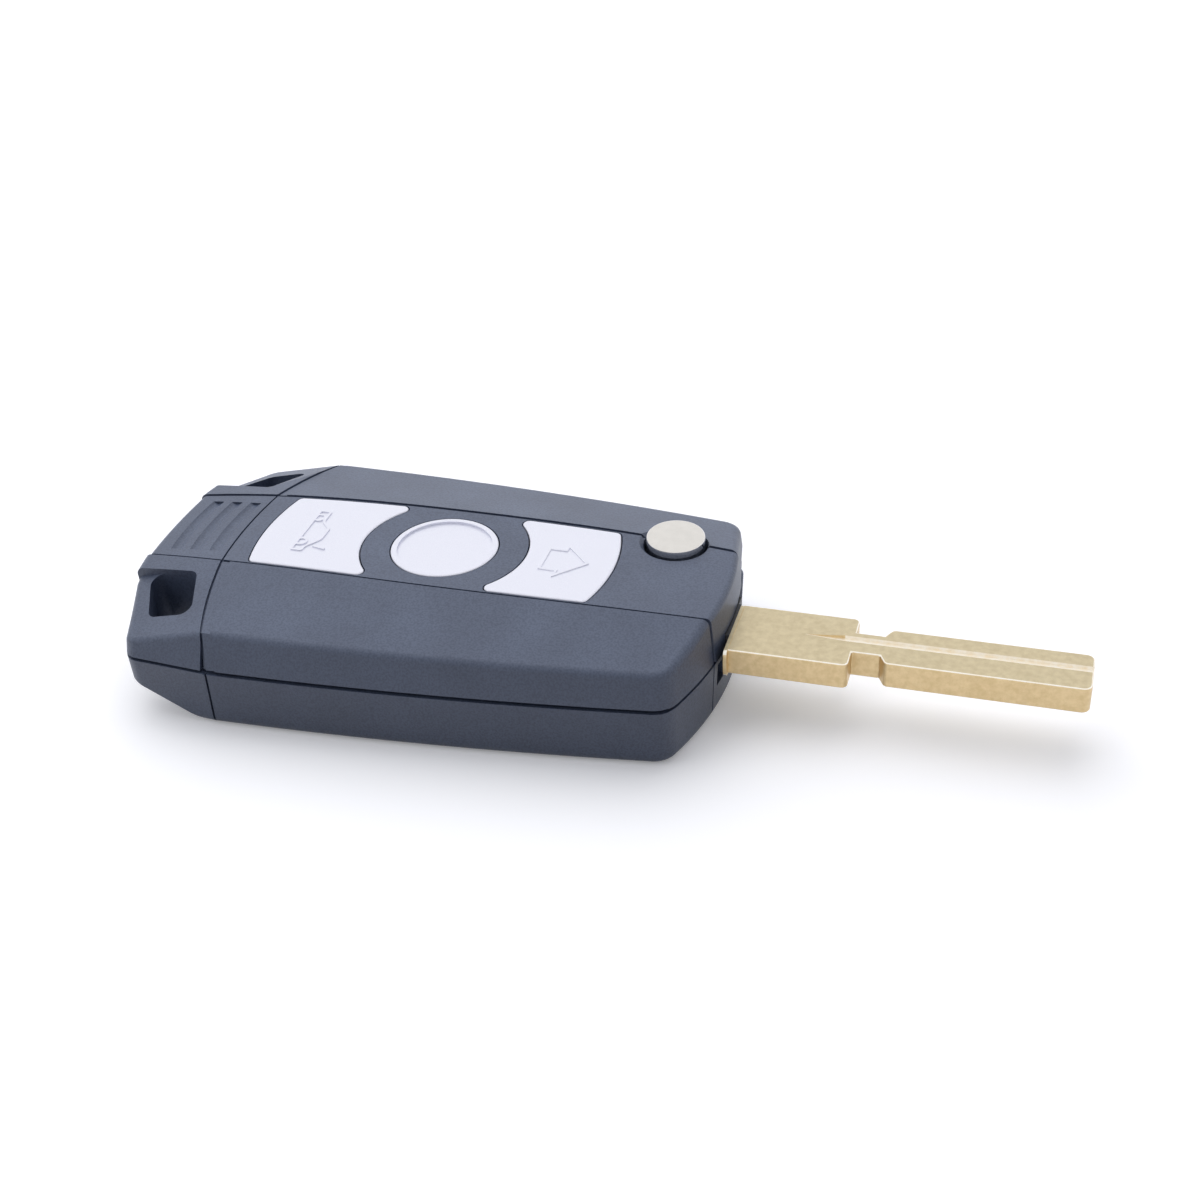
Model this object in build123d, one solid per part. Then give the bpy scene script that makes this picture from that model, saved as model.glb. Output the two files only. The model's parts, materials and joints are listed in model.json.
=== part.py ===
from build123d import *
from math import radians, tan
import os

# Case, outer form. X runs along the key towards the blade, Y across it, Z up from the rest face.
front_x = 36.6            # blade end of the case on the centre line
back_x = -36.5            # keyring end on the centre line
split_z = 7.75            # parting plane of the two shells
edge_z = 12.2             # outer edge of the top flanks
back_half = 22.35         # half width of the case at the wing line
front_half = 17.75        # half width where the front corners begin
side_bulge = 0.8          # how far the sides bow out between the two
shoulder_x = -22.0        # where the sides turn in towards the keyring end
front_corner_x = 33.0     # near front corner
far_corner_x = 34.15      # far front corner, which stands further out
wing_corner_x = -32.6
wing_corner_y = 21.6
end_flat_half = 11.3      # half width of the shallow arc of the keyring end
end_sag = 0.8
lean_back = 1.85          # how far the sides lean in between the parting plane and edge_z
lean_front = 0.8
lean_front_end = 0.35
lean_back_end = -0.25
lower_lean = 0.3          # draft of the lower shell over its height
front_corner_r = 3.0
wing_corner_r = 2.2
top_round = 1.0
rim_reach = 1.5           # the top's outer edge lies within this of the side walls
strip_round = 0.7
bottom_round = 1.2

# Top strip, crowned along the key
crown_z = 14.5
crown_fall_back = 1.33    # drop of the strip at its two ends
crown_fall_front = 0.6
crown_reach = 35.0
strip_half = 8.8          # half width of the strip in the middle
strip_half_end = 7.6
strip_sink = 0.12         # the strip lies this much below the flanks
strip_proud = 0.1         # its blade end stands out from theirs
strip_recess = 0.45       # and its keyring end lies inside theirs
line_wide = 0.35          # grooves that outline the strip
line_deep = 0.4
thin_line = 0.25          # width of the wing lines, and of all lines on the lower shell
wing_line_x = -26.1       # wing line on the centre line, an arc about a point on the +X side
wing_line_r = 59.6
bevel_wide = 1.3          # shallow step on the body's side of the wing line
bevel_deep = 0.15

# Grip grooves in the strip's keyring end
grip_count = 3
grip_pitch = 2.68
grip_wide = 1.4
grip_deep = 0.26
grip_half = 5.9           # half length
grip_r = 35.0             # their arc
grip_first_x = -33.45
grip_tube_r = (grip_wide**2 / 4 + grip_deep**2) / (2 * grip_deep)

# Shell walls and their joint
wall = 1.6
ceiling_z = 12.55         # inner face of the roof under the strip
floor_z = 1.4             # inner face of the lower shell's floor
reveal_high = 0.5         # shadow gap between the shells along the sides
reveal_ends = 0.38        # and round the two ends
reveal_deep = 0.9
tongue_wide = 0.55
tongue_high = 0.9
tongue_gap = 0.08
pocket_top = 9.75         # hollow in the keyring end

# Keyring holes in the wings
ledge_y = 10.4            # the wing's top falls away outside this line
wing_drop = 0.67          # its height there below crown_z, where it meets the flank
wing_meet_x = -27.0
wing_slope_along = 0.235
wing_slope_across = 0.284
wing_start = 0.3          # behind the shoulder
ring_hole_in = 10.4
ring_hole_out = 17.3
ring_hole_back_in = -34.2
ring_hole_back_out = -31.1
ring_hole_front_in = -27.6
ring_hole_front_out = -25.2
ring_hole_r = 1.3
keel_x = -22.8            # the underside of the wings rises from here
keel_slope = 24.7         # degrees
ring_wall = 1.0           # from the holes to the board bay
cavity_back = ring_hole_front_out + ring_wall

# Pivot of the blade and its head
pivot_x = 27.75
pivot_y = 7.6
hub_r = 6.0
hub_bottom = 5.6
hub_top = 10.9
run_gap = 0.05            # running clearance of turning and sliding fits
neck_r = 2.9
neck_bottom = 1.55
arm_in_y = 4.6
arm_out_y = -3.6
arm_back_x = 29.5
bore_inset = 0.4          # from the hub to the end of the board bay
boss_wall = 1.0
boss_r = hub_r + run_gap + boss_wall

# Blade
blade_thick = 3.3
blade_z = 6.1             # its underside
blade_back_x = 37.2       # root in front of the collar
blade_root_end = 51.2
blade_notch_end = 55.2
blade_tip_x = 77.2
root_half = 4.75
main_half = 3.43
notch_half = 1.95
blade_y = -1.76           # centre line of the blade
notch_slope = 0.75
tip_r = 0.9
shoulder_r = 0.7
blade_edge = 0.12         # broken edges
groove_wide = 1.3
groove_deep = 0.55
groove_start = 45.0
groove_runout = 4.0
collar_thick = 0.25
collar_proud = 0.1
collar_out = 0.7          # on the near side
collar_r = 0.6
tang_half = 2.25
tang_y = -0.35
tang_thick = 1.6
tang_back_x = 30.3
tang_gap = 0.04
roll_pin_r = 0.9
roll_pin_wall = 0.25
roll_pin_slit = 0.3
roll_pin_x = 33.2
blade_top = blade_z + blade_thick
blade_middle = blade_z + blade_thick / 2

# Slot that the blade folds through
slot_gap = 0.25
slot_room = 0.6           # above and below the blade
mouth_gap = 0.12          # the slot is closer round the blade's head where it leaves the case
tip_room = 1.3            # in front of the folded tip
notch_low = 3.9           # relief below the mouth, in the lower shell
notch_deep = 1.2
notch_out_y = -6.3
slot_bottom = blade_z - slot_room
slot_top = blade_top + slot_room
slot_back_x = pivot_x - hub_r - bore_inset
slot_end_x = 2 * pivot_x - blade_tip_x - tip_room
pocket_y = blade_y - root_half - collar_out - slot_gap
pocket_x = front_x - wall
mouth_bottom = blade_z - collar_proud - mouth_gap
mouth_top = blade_top + collar_proud + mouth_gap
mouth_y = arm_out_y - mouth_gap
channel_y = 2 * pivot_y - (blade_y + root_half + collar_proud) - slot_gap
rib_wall = 1.2            # inner walls of the shells
support_count = 3

# Release button and its lock
button_r = 3.62
button_top = 15.4
button_bottom = 10.2
button_edge_r = 0.55
button_dome = 0.12
button_gap = 0.36
button_cup_r = 2.9
button_skin = 2.0
stem_r = 1.3
stem_bottom = 7.0
release_travel = 1.0
lug_reach = 4.75
lug_wide = 1.8
lug_top = 11.6
lug_gap = 0.1
lug_spare = 0.3           # left below the lugs when the button is down
lug_count = 2
head_bore_r = 3.7
shelf_top = 8.0
shelf_bottom = 7.0
stem_washer_thick = 0.3
stem_screw_head_r = 1.9
stem_screw_head_high = 0.9
stem_screw_r = 0.7
stem_screw_long = 4.0
lower_bore_r = 2.3
hole_chamfer = 0.35
lock_ring_bottom = 11.0
lock_relief_r = 4.95
lock_relief_top = 11.9
lock_ring_cover = 0.15    # its top below the inner face of the roof
lock_ring_top = ceiling_z - lock_ring_cover
button_hole_r = button_r + button_gap

# Springs
release_spring_r = 2.15
release_wire = 0.45
release_turns = 4.5
flip_spring_r = 3.75
flip_wire = 0.7
flip_turns = 3
cup_r = 5.0
bush_wall = 0.5
bush_top = 2.6
washer_thick = 0.25
bush_r = neck_r + run_gap + bush_wall
washer_bottom = hub_bottom - run_gap - washer_thick

# Push buttons in the strip
key_travel = 0.4
key_gap = 0.15
key_inset = 0.6           # strip edge to button edge
key_proud = 0.1
key_corner_r = 0.8
key_edge = 0.2
flange_wide = 0.8
flange_thick = 0.65
boot_back_x = -22.0
boot_bulge = 1.1
lock_front_x = 20.8
lock_bulge = 1.3
round_x = 0.66
round_r = 6.6
round_rim = 0.75
round_dish = 0.3
ring_r = 10.4             # arcs of the two long buttons round the middle one
flange_bottom = ceiling_z - run_gap - flange_thick

# Keypad mat and the plate that holds it
mat_bottom = 10.3
mat_thick = 0.6
mat_pad_gap = 0.05
mat_pad_half = 2.6
mat_top = mat_bottom + mat_thick
nipple_r = 1.2
nipple_bottom = 8.9
nipple_gap = 0.3
plate_thick = 1.0
plate_corner_r = 1.5
plate_gap = 0.2
plate_half = 9.6
plate_bottom = mat_bottom - plate_thick
plate_back = cavity_back + plate_gap
plate_front = slot_back_x - plate_gap
stake_r = 0.7
stake_head_r = 1.15
stake_head_high = 0.5
stake_gap = 0.1
stake_y = 9.75
stake_pitch = 17.6
stake_middle_x = -0.4
standoff_r = 0.9

# Fasteners and stops
screw_r = 0.8
screw_head_r = 1.5
screw_head_high = 1.1
screw_top = 10.6
screw_sink = 0.9          # its head lies this deep
screw_gap = 0.15          # round head and shank
screw_room = 0.4          # past the tip
screw_boss_wall = 1.2
screw_boss_r = screw_r + screw_boss_wall
back_screw_x = -29.5
front_screw_x = 31.0
front_screw_y = -11.8
bumper_long = 3.0
bumper_thick = 1.6
bumper_low = 0.5          # its top below the slot's top
stop_inset = 1.5
stop_x = arm_back_x + stop_inset
stop_y = arm_out_y - run_gap - bumper_thick
battery_r = 10.2
battery_wall = 0.8
battery_high = 1.6
battery_x = -9.5
battery_y = -5.0

# Extents of cutting tools, past every face of the case
wide = 40.0
high = 20.0
sections = 8              # lengthwise sections of the top
arc_steps = 4             # arcs in one long bowed edge
spill = 1.0
touch = 0.01
pivot = (pivot_x, pivot_y)
stations = [wide * (2 * number / sections - 1) for number in range(sections + 1)]
on_floor = (Align.CENTER, Align.CENTER, Align.MIN)


def crown(x):
    """Height of the strip's top at x."""
    fall = crown_fall_front if x > 0 else crown_fall_back
    return crown_z - fall * abs(x / crown_reach) ** 3


def lean(x):
    """How far a side leans in between the parting plane and edge_z."""
    share = (x - shoulder_x) / (front_corner_x - shoulder_x)
    return lean_back + (lean_front - lean_back) * share


def side_at(x):
    """Half width of the case at the parting plane, between shoulder and front corner."""
    share = (max(x, shoulder_x) - shoulder_x) / (front_corner_x - shoulder_x)
    return back_half + (front_half - back_half) * share + 4 * side_bulge * share * (1 - share)


def half_at(x):
    """Half width of the case at the height of edge_z."""
    return side_at(x) - lean(max(x, shoulder_x))


def arcs_through(place, low, top, count=arc_steps):
    """Arcs in a row, from one x to another, through the points that place gives."""
    step = (top - low) / count
    row = Curve()
    for number in range(count):
        start = low + number * step
        row += ThreePointArc(place(start), place(start + step / 2), place(start + step))
    return row


def outline(z, inset=0.0):
    """Plan outline of the case at height z, set in by a wall."""
    down = max(0.0, (split_z - z) / split_z) * lower_lean
    up = max(0.0, (z - split_z) / (edge_z - split_z))
    front_in = up * lean_front_end + down
    back_in = up * lean_back_end + down

    def shifted(x, y):
        share = front_in / front_x if x > 0 else -back_in / back_x
        return x * (1 - share), y - up * lean(x) - down

    def side(corner_x):
        bow = arcs_through(lambda x: shifted(x, side_at(x)), shoulder_x, corner_x)
        return Line(flat, wing) + Line(wing, shoulder) + bow

    back = (back_x + back_in, 0)
    flat = (back_x + back_in + end_sag, end_flat_half)
    wing = shifted(wing_corner_x, wing_corner_y)
    shoulder = shifted(shoulder_x, side_at(shoulder_x))
    near = shifted(front_corner_x, side_at(front_corner_x))
    far = shifted(far_corner_x, side_at(far_corner_x))
    start = (near[0], -near[1])
    tip = (front_x - front_in, 0)
    tangents = ConstrainedLines(ThreePointArc(start, tip, near).edge(), far)
    run = tangents.edges().sort_by(Axis.X)[-1]
    ends = ThreePointArc((flat[0], -flat[1]), back, flat) + ThreePointArc(start, tip, run @ 0) + run
    face = make_face(side(far_corner_x) + mirror(side(front_corner_x), Plane.XZ) + ends)
    corners = [(wing, 1, wing_corner_r), (wing, -1, wing_corner_r)]
    corners += [(far, 1, front_corner_r), (near, -1, front_corner_r)]
    for point, along, radius in corners:
        spot = Vector(point[0], along * point[1], 0)
        face = fillet(face.vertices().sort_by_distance(spot)[0], radius)
    if inset:
        face = offset(face, -inset)
    return Pos(0, 0, z) * face


def strip_half_at(x):
    """Half width of the strip at x."""
    return strip_half - (strip_half - strip_half_end) * (x / crown_reach) ** 2


def crease_at(x):
    """Distance from the centre line at which a flank begins to fall, inside the strip's line."""
    return strip_half_at(x) - line_wide / 2


def flank_fall(x):
    """Fall of a flank for each millimetre across, at x."""
    return (crown(x) + strip_sink - edge_z) / (half_at(x) - crease_at(x))


def crown_block(inset=0.0):
    """Everything under the top of strip and flanks, set in by a wall."""
    slices = []
    for x in stations:
        inner = crease_at(x)
        crest = crown(x) + strip_sink - inset
        outer = crest - flank_fall(x) * (wide - inner)
        points = [(-wide, outer), (-inner, crest), (inner, crest), (wide, outer), (wide, 0), (-wide, 0)]
        station = Plane(origin=(x, 0, 0), x_dir=(0, 1, 0), z_dir=(1, 0, 0))
        slices.append(station * make_face(Polyline(*points, close=True)))
    return loft(slices)


def skirt(inset=0.0):
    """Everything inside the upper shell's side walls, set in by a wall."""
    return loft([outline(split_z, inset), outline(high, inset)], ruled=True)


def upper_block(inset=0.0):
    """Everything inside the upper shell's outer faces, set in by a wall."""
    return skirt(inset) & crown_block(inset)


def rounded_block(inset=0.0):
    """The upper shell's block with the rim of its top rounded."""
    solid = upper_block(inset)
    return fillet([edge for edge in solid.edges() if is_rim(edge)], top_round - inset)


def lower_block(inset=0.0):
    """Everything inside the lower shell's outer walls, set in by a wall."""
    return loft([outline(0, inset), outline(split_z, inset)], ruled=True)


def prism(face, low, top):
    """A plan face drawn out between two heights."""
    return Pos(0, 0, low) * extrude(face, top - low)


def rectangle(x_low, x_high, y_low, y_high):
    """A plan rectangle from its limits."""
    middle = ((x_low + x_high) / 2, (y_low + y_high) / 2)
    return Pos(*middle) * Rectangle(x_high - x_low, y_high - y_low)


def block(x_low, x_high, y_low, y_high, low, top):
    """A box from its limits."""
    return prism(rectangle(x_low, x_high, y_low, y_high), low, top)


def rod(place, radius, low, top):
    """An upright cylinder from its limits."""
    return Pos(place[0], place[1], low) * Cylinder(radius, top - low, align=on_floor)


def across(profile):
    """A side profile drawn out over the whole width of the case."""
    return extrude(Plane.XZ.offset(-wide) * profile, 2 * wide)


def tube(place, outer, inner, low, top):
    """An upright tube from its limits."""
    return rod(place, outer, low, top) - rod(place, inner, low - spill, top + spill)


def strip_face(margin=0.0, low=-wide, top=wide, count=arc_steps):
    """Plan of the strip between its two bowed edges, with a margin along each."""
    far = arcs_through(lambda x: (x, strip_half_at(x) - margin), low, top, count)
    near = mirror(far, Plane.XZ)
    for x in (low, top):
        half = strip_half_at(x) - margin
        far += Line((x, -half), (x, half))
    return make_face(far + near)


def wing_band(start, width):
    """Plan of an arched band across the case, beside the wing line."""
    centre = Pos(wing_line_x + wing_line_r, 0)
    band = Circle(wing_line_r - start) - Circle(wing_line_r - start - width)
    return (centre * band) & rectangle(-wide, 0, -wide, wide)


def wing_disc():
    """Everything on the body's side of the wing line."""
    return rod((wing_line_x + wing_line_r, 0), wing_line_r, 0, high)


def grip_grooves():
    """The arched grip grooves in the strip's keyring end."""
    grooves = []
    for number in range(grip_count):
        x = grip_first_x + number * grip_pitch
        ring = Pos(x + grip_r, 0, crown(x) + grip_tube_r - grip_deep) * Torus(grip_r, grip_tube_r)
        grooves.append(ring & block(-wide, 0, -grip_half, grip_half, 0, high))
    return grooves


def ring_hole(side):
    """Plan of the keyring hole in one wing."""
    corners = [
        (ring_hole_back_in, side * ring_hole_in),
        (ring_hole_front_in, side * ring_hole_in),
        (ring_hole_front_out, side * ring_hole_out),
        (ring_hole_back_out, side * ring_hole_out),
    ]
    face = make_face(Polyline(*corners, close=True))
    return fillet(face.vertices(), ring_hole_r)


def wing_cut(side):
    """The wedge that lets a wing's top fall away outside its ledge."""
    meet_z = crown_z - wing_drop
    start_z = meet_z - wing_slope_along * wing_meet_x
    end_z = meet_z - wing_slope_along * (wide + wing_meet_x)
    points = [(0, start_z), (-wide, end_z), (-wide, wide), (0, wide)]
    face = Plane.XZ.offset(-side * ledge_y) * make_face(Polyline(*points, close=True))
    return extrude(face, wide, dir=(0, side, -wing_slope_across))


def wings():
    """The keyring end of the upper shell, with its falling wings."""
    solid = upper_block() & block(-wide, shoulder_x - wing_start, -wide, wide, 0, high)
    for side in (-1, 1):
        solid -= wing_cut(side)
    rim = [edge for edge in solid.edges() if is_rim(edge)]
    return fillet(rim, top_round) - wing_disc()


def strip():
    """The crowned strip between the flanks, its two ends rounded."""
    solid = prism(strip_face(line_wide), split_z, high) & crown_block(strip_sink)
    for shift in (strip_proud, strip_recess):
        solid &= Pos(shift, 0, 0) * skirt()
    ends = [edge for edge in solid.edges() if is_end(edge)]
    return fillet(ends, strip_round)


def shadow_gap():
    """The gap that shows between the shells all the way round."""
    band = Rectangle(4 * wide, 4 * wide) - Pos(0, 0, -split_z) * outline(split_z, reveal_deep)
    sides = band & rectangle(shoulder_x, front_corner_x, -2 * wide, 2 * wide)
    thin = prism(band, split_z - reveal_ends / 2, split_z + reveal_ends / 2)
    return thin + prism(sides, split_z - reveal_high / 2, split_z + reveal_high / 2)


def slot():
    """The room that the blade and its head sweep, open at the end face and along the far side."""
    face = rectangle(slot_back_x, pocket_x, pocket_y, 4 * wide)
    face += rectangle(slot_end_x, pocket_x, channel_y, 4 * wide)
    face += rectangle(2 * pivot_x - front_x - slot_gap, pocket_x, 2 * pivot_y - arm_in_y - slot_gap, 4 * wide)
    face += Pos(*pivot) * Circle(hub_r + slot_gap)
    mouth = rectangle(slot_back_x, 4 * wide, mouth_y, 4 * wide)
    return prism(face, slot_bottom, slot_top) + prism(mouth, mouth_bottom, mouth_top)


def rim_band(start, width):
    """Plan of a band that follows the shell wall, from the keyring wall to the blade's mouth."""
    band = Pos(0, 0, -split_z) * (outline(split_z, start) - outline(split_z, start + width))
    band &= rectangle(cavity_back, 4 * wide, -wide, wide)
    return band - rectangle(pivot_x, 4 * wide, pocket_y - rib_wall, 4 * wide)


def long_plan(end_x, bulge):
    """Plan of a long button from the ring round the middle one to a bowed end."""
    half = strip_half_at(end_x) - key_inset
    radius = (half**2 + bulge**2) / (2 * abs(bulge))
    side = 1 if end_x > round_x else -1
    face = strip_face(key_inset, *sorted((round_x, side * wide)), 1)
    face &= Pos(end_x + bulge - side * radius, 0) * Circle(radius)
    face -= Pos(round_x, 0) * Circle(ring_r)
    return fillet(face.vertices(), key_corner_r)


def under_crown(above=0.0):
    """Everything under the strip's crowned top."""
    top = Spline(*[(x, crown(x) + above) for x in stations])
    base = Polyline(top @ 1, (wide, 0), (-wide, 0), top @ 0)
    return across(make_face(top + base))


def push_button(plan):
    """A button cap with its flange under the roof."""
    cap = prism(plan, flange_bottom, high) & under_crown(key_proud)
    rim = cap.faces().sort_by(Axis.Z)[-1].edges()
    cap = fillet(rim, key_edge)
    flange = prism(offset(plan, flange_wide), flange_bottom, ceiling_z - run_gap)
    relief = rod(pivot, boss_r + key_gap, 0, ceiling_z + run_gap)
    return cap + flange - relief


def make_round_button():
    """The middle button, with a raised rim round a shallow dish."""
    button = push_button(round_plan)
    top = crown(0) + key_proud
    dish = rod((round_x, 0), round_r - round_rim, top - round_dish, high)
    return button - dish


def screw_seats():
    """Place and seat height of each case screw."""
    keel_z = (keel_x - back_screw_x) * tan(radians(keel_slope))
    seat = screw_sink + screw_head_high
    return [((back_screw_x, 0), keel_z + seat), ((front_screw_x, front_screw_y), seat)]


def make_screws():
    """The case screws, a group of separate solids."""
    group = []
    for place, seat in screw_seats():
        head = rod(place, screw_head_r, seat - screw_head_high, seat)
        drive = rod(place, screw_head_r / 2, seat - screw_head_high, seat - screw_head_high / 2)
        group.append(head - drive + rod(place, screw_r, seat, screw_top))
    return Compound(group)


def stakes():
    """Places of the stakes that hold the mat and its plate."""
    return [(stake_middle_x + step * stake_pitch, side * stake_y) for step in (-1, 0, 1) for side in (-1, 1)]


def make_upper_shell():
    """The upper shell, moulded in one piece with strip, flanks and wings."""
    shell = (rounded_block() & wing_disc()) + wings()
    step = prism(wing_band(0, bevel_wide), split_z, high)
    shell -= step - upper_block(bevel_deep)
    bed = prism(strip_face(), split_z, high)
    shell -= bed
    shell += bed & crown_block(strip_sink + line_deep) & skirt(strip_recess + line_deep)
    shell += strip()
    shell -= prism(wing_band(0, thin_line), split_z, high) - upper_block(line_deep)
    for groove in grip_grooves():
        shell -= groove
    room = upper_block(wall) & block(cavity_back, wide * 2, -wide, wide, 0, ceiling_z)
    room -= block(cavity_back, pivot_x, channel_y - rib_wall, channel_y, 0, high)
    room -= rod(pivot, boss_r, slot_top, high)
    room -= rod(screw_seats()[1][0], screw_boss_r, 0, high)
    for place in stakes():
        room -= rod(place, standoff_r, mat_top, high)
    shell -= room
    pocket_half = ring_hole_in - 2 * wall
    pocket = block(back_x + 2 * wall, cavity_back - wall, -pocket_half, pocket_half, 0, pocket_top)
    shell -= pocket - rod(screw_seats()[0][0], screw_boss_r, 0, high)
    shell -= slot()
    for place in stakes():
        shell += rod(place, stake_r, plate_bottom - stake_head_high, mat_top)
        shell += rod(place, stake_head_r, plate_bottom - stake_head_high, plate_bottom)
    for side in (-1, 1):
        shell -= prism(ring_hole(side), 0, high)
    for plan in (boot_plan, round_plan, lock_plan):
        shell -= prism(offset(plan, key_gap), flange_bottom, high)
        seat = prism(offset(plan, flange_wide + key_gap), flange_bottom, ceiling_z)
        shell -= seat - rod(pivot, boss_r, 0, high)
    shell -= rod(pivot, hub_r + run_gap, 0, lock_ring_top)
    shell -= rod(pivot, button_hole_r, 0, high)
    rim_z = crown(pivot_x) - hole_chamfer
    shell -= Pos(*pivot, rim_z) * Cone(button_hole_r, button_hole_r + spill, spill, align=on_floor)
    for place, _ in screw_seats():
        shell -= rod(place, screw_r, 0, screw_top + screw_room)
    shell -= shadow_gap()
    rebate = rim_band(wall - tongue_wide - tongue_gap, tongue_wide + spill)
    shell -= prism(rebate, split_z, split_z + tongue_high + tongue_gap)
    return shell


def is_rim(edge):
    """True for an edge where the flanks or ends of the top meet the side walls."""
    middle = edge.position_at(0.5)
    beside = abs(middle.Y) > half_at(middle.X) - rim_reach
    ends = middle.X > front_corner_x or middle.X < wing_corner_x
    crosses = edge.bounding_box().size.X < touch
    return middle.Z > split_z + top_round and is_level(edge) and (beside or ends) and not crosses


def is_level(edge):
    """True for an edge that runs more along or across the case than upwards."""
    return abs((edge @ 1 - edge @ 0).Z) < edge.length / 2


def is_end(edge):
    """True for an edge across one of the strip's two ends, at its top."""
    middle = edge.position_at(0.5)
    return middle.Z > edge_z and is_level(edge) and abs(middle.X) > front_corner_x


def make_lower_shell():
    """The lower shell, with the board bay, the pivot cup and the blade's channel."""
    shell = lower_block()
    base = shell.faces().sort_by(Axis.Z)[0].edges()
    shell = fillet(base, bottom_round)
    rise = (keel_x + wide) * tan(radians(keel_slope))
    keel = Polyline((keel_x, 0), (-wide, rise), (-wide, -high), (keel_x, -high), close=True)
    shell -= across(make_face(keel))
    inner = lower_block(line_deep)
    for face in (strip_face() - strip_face(thin_line), wing_band(0, thin_line)):
        shell -= prism(face, -spill, high) - inner
    room = lower_block(wall) & block(cavity_back, wide * 2, -wide, wide, floor_z, high)
    room -= block(cavity_back, pivot_x, channel_y - rib_wall, channel_y, 0, high)
    room -= block(slot_back_x - rib_wall, slot_back_x, -wide, channel_y, 0, high)
    room -= rod(pivot, hub_r, 0, high)
    room -= rod(screw_seats()[1][0], screw_boss_r, 0, high)
    for number in range(support_count):
        x = slot_end_x + (number + 1) * (pivot_x - hub_r - slot_end_x) / (support_count + 1)
        room -= block(x, x + rib_wall, channel_y, wide, 0, high)
    room -= tube((battery_x, battery_y), battery_r + battery_wall, battery_r, 0, floor_z + battery_high)
    shell -= room
    shell -= slot()
    shell -= block(front_x - notch_deep, wide, notch_out_y, arm_out_y, notch_low, mouth_bottom + spill)
    shell -= rod(pivot, hub_r + slot_gap, washer_bottom, high)
    shell -= rod(pivot, cup_r, bush_top, high)
    shell -= rod(pivot, bush_r, floor_z, high)
    stop_back = stop_x - rib_wall
    stop_front = stop_x + bumper_long
    stop_face = rectangle(stop_back, stop_front + rib_wall, stop_y - rib_wall, stop_y + bumper_thick / 2)
    stop_face -= rectangle(stop_x, stop_front, stop_y, stop_y + bumper_thick)
    shell += prism(stop_face, floor_z / 2, split_z)
    for side in (-1, 1):
        shell -= prism(ring_hole(side), -spill, high)
    for place, seat in screw_seats():
        shell -= rod(place, screw_head_r + screw_gap, -spill, seat)
        shell -= rod(place, screw_r + screw_gap, -spill, high)
    shell -= shadow_gap()
    tongue = prism(rim_band(wall - tongue_wide, tongue_wide), split_z, split_z + tongue_high)
    return shell + (tongue - slot())


def sheet_plan():
    """Plan of the mat and of its plate, clear of the boss round the pivot."""
    sheet = rectangle(plate_back, plate_front, -plate_half, plate_half)
    return sheet - Pos(*pivot) * Circle(boss_r + slot_gap)


def make_mat():
    """The rubber mat, with a pad and a nipple under each button."""
    mat = prism(sheet_plan(), mat_bottom, mat_top)
    pad_top = flange_bottom - key_travel - mat_pad_gap
    for x in button_middles:
        mat += block(x - mat_pad_half, x + mat_pad_half, -mat_pad_half, mat_pad_half, mat_bottom, pad_top)
        mat += rod((x, 0), nipple_r, nipple_bottom, mat_bottom)
    for place in stakes():
        mat -= rod(place, stake_r + stake_gap, 0, high)
    return mat


def make_plate():
    """The plate that clamps the mat under the roof."""
    sheet = fillet(sheet_plan().vertices().sort_by(Axis.X)[:2], plate_corner_r)
    plate = prism(sheet, plate_bottom, mat_bottom)
    for x in button_middles:
        plate -= rod((x, 0), nipple_r + nipple_gap, 0, high)
    for place in stakes():
        plate -= rod(place, stake_r + stake_gap, 0, high)
    return plate


def tang(margin=0.0):
    """The flat tail of the blade, with a margin all round."""
    thick = tang_thick / 2 + margin
    half = tang_half + margin
    return block(tang_back_x - margin, blade_back_x - collar_thick, tang_y - half, tang_y + half,
                 blade_middle - thick, blade_middle + thick)


def make_head():
    """The blade's head: a hub with a neck below it and an arm that grips the tang."""
    hub = Pos(*pivot) * Circle(hub_r)
    web = rectangle(arm_back_x, pivot_x + hub_r, arm_out_y, arm_in_y)
    arm = make_hull(hub.edges() + web.edges())
    arm += rectangle(arm_back_x, front_x, arm_out_y, arm_in_y)
    arm += rectangle(arm_back_x, blade_back_x - collar_thick, arm_out_y, blade_y + root_half)
    head = prism(arm, blade_z, blade_top) + rod(pivot, hub_r, hub_bottom, hub_top)
    head += rod(pivot, neck_r, neck_bottom, hub_bottom)
    head -= rod(pivot, head_bore_r, shelf_top, high)
    head -= rod(pivot, lower_bore_r, 0, shelf_bottom)
    head -= rod(pivot, stem_r + run_gap, 0, high)
    lug_room = Rectangle(2 * (lug_reach + lug_gap), lug_wide + 2 * lug_gap)
    head -= prism(Pos(*pivot) * lug_room, button_bottom - release_travel - lug_spare, high)
    head -= tang(tang_gap)
    return head - rod((roll_pin_x, tang_y), roll_pin_r, 0, high)


def blade_outline():
    """Plan of the blade from its root to its tip, with the two waist notches."""
    half = Polyline(
        (blade_back_x, 0), (blade_back_x, root_half), (blade_root_end, root_half),
        (blade_root_end, notch_half), (blade_notch_end - notch_slope, notch_half),
        (blade_notch_end, main_half), (blade_tip_x, main_half), (blade_tip_x, 0), close=True)
    face = make_face(half)
    face = fillet(face.vertices().sort_by_distance((blade_tip_x, main_half, 0))[0], tip_r)
    face = fillet(face.vertices().sort_by_distance((blade_root_end, root_half, 0))[0], shoulder_r)
    return Pos(0, blade_y) * (face + mirror(face, Plane.XZ))


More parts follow.
